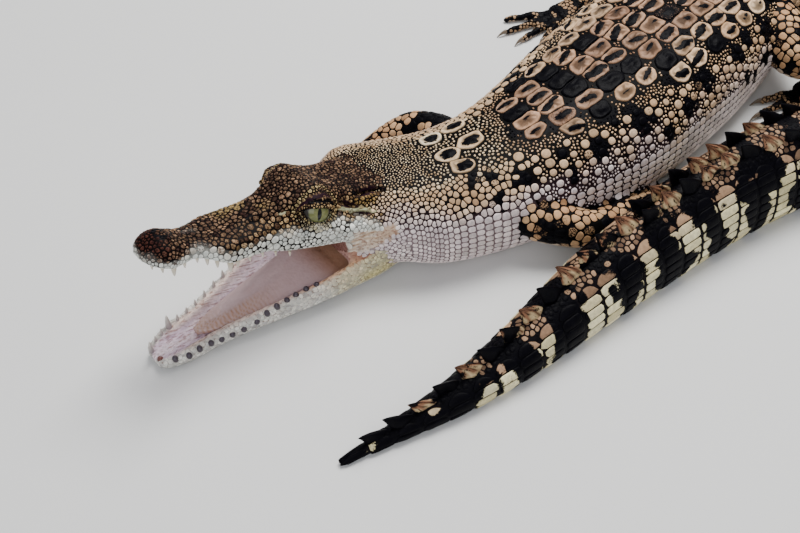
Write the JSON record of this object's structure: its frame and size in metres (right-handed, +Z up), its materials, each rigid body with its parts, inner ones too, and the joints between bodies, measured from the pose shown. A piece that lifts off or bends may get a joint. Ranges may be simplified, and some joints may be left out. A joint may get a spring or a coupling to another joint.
{
  "type": "saltwater crocodile model",
  "caption": "Life-size still model of a young saltwater crocodile lying on its belly with its mouth open and its tail curled forward beside it.",
  "frame": {"origin": "on the floor, under the middle of the model's footprint", "axes": "+Z up, snout towards -Y, the animal's left side and its curled tail towards +X"},
  "size_m": [0.2206, 0.4385, 0.0683],
  "materials": {
    "crown_hide": "cracked horny scales, brown with ochre",
    "throat_hide": "smooth pale jaw skin with fine specks",
    "scaly_hide": "separate raised scales, tan and cream with black blotches and bands",
    "mouth_skin": "moist pinkish mouth skin",
    "eyeball": "wet eye, yellow-green iris with an upright slit",
    "claw_horn": "dark horn"
  },
  "bodies": {
    "root": {"head": "crown_hide", "lower_jaw": "throat_hide", "tongue": "mouth_skin", "mouth_lining": "mouth_skin", "eye_left": "eyeball", "eye_right": "eyeball", "neck": "scaly_hide", "trunk_front": "scaly_hide", "trunk_rear": "scaly_hide", "tail_1": "scaly_hide", "tail_2": "scaly_hide", "tail_3": "scaly_hide", "tail_4": "scaly_hide", "tail_5": "scaly_hide", "foreleg_left_upper": "scaly_hide", "foreleg_left_lower": "scaly_hide", "foreleg_right_upper": "scaly_hide", "foreleg_right_lower": "scaly_hide", "hindleg_left_upper": "scaly_hide", "hindleg_left_lower": "scaly_hide", "hindleg_right_upper": "scaly_hide", "hindleg_right_lower": "scaly_hide", "forefoot_left": "scaly_hide", "forefoot_right": "scaly_hide", "hindfoot_left": "scaly_hide", "hindfoot_right": "scaly_hide", "claw_fore_left_1": "claw_horn", "claw_fore_left_2": "claw_horn", "claw_fore_left_3": "claw_horn", "claw_fore_right_1": "claw_horn", "claw_fore_right_2": "claw_horn", "claw_fore_right_3": "claw_horn", "claw_hind_left_1": "claw_horn", "claw_hind_left_2": "claw_horn", "claw_hind_left_3": "claw_horn", "claw_hind_right_1": "claw_horn", "claw_hind_right_2": "claw_horn", "claw_hind_right_3": "claw_horn"}
  },
  "joints": []
}
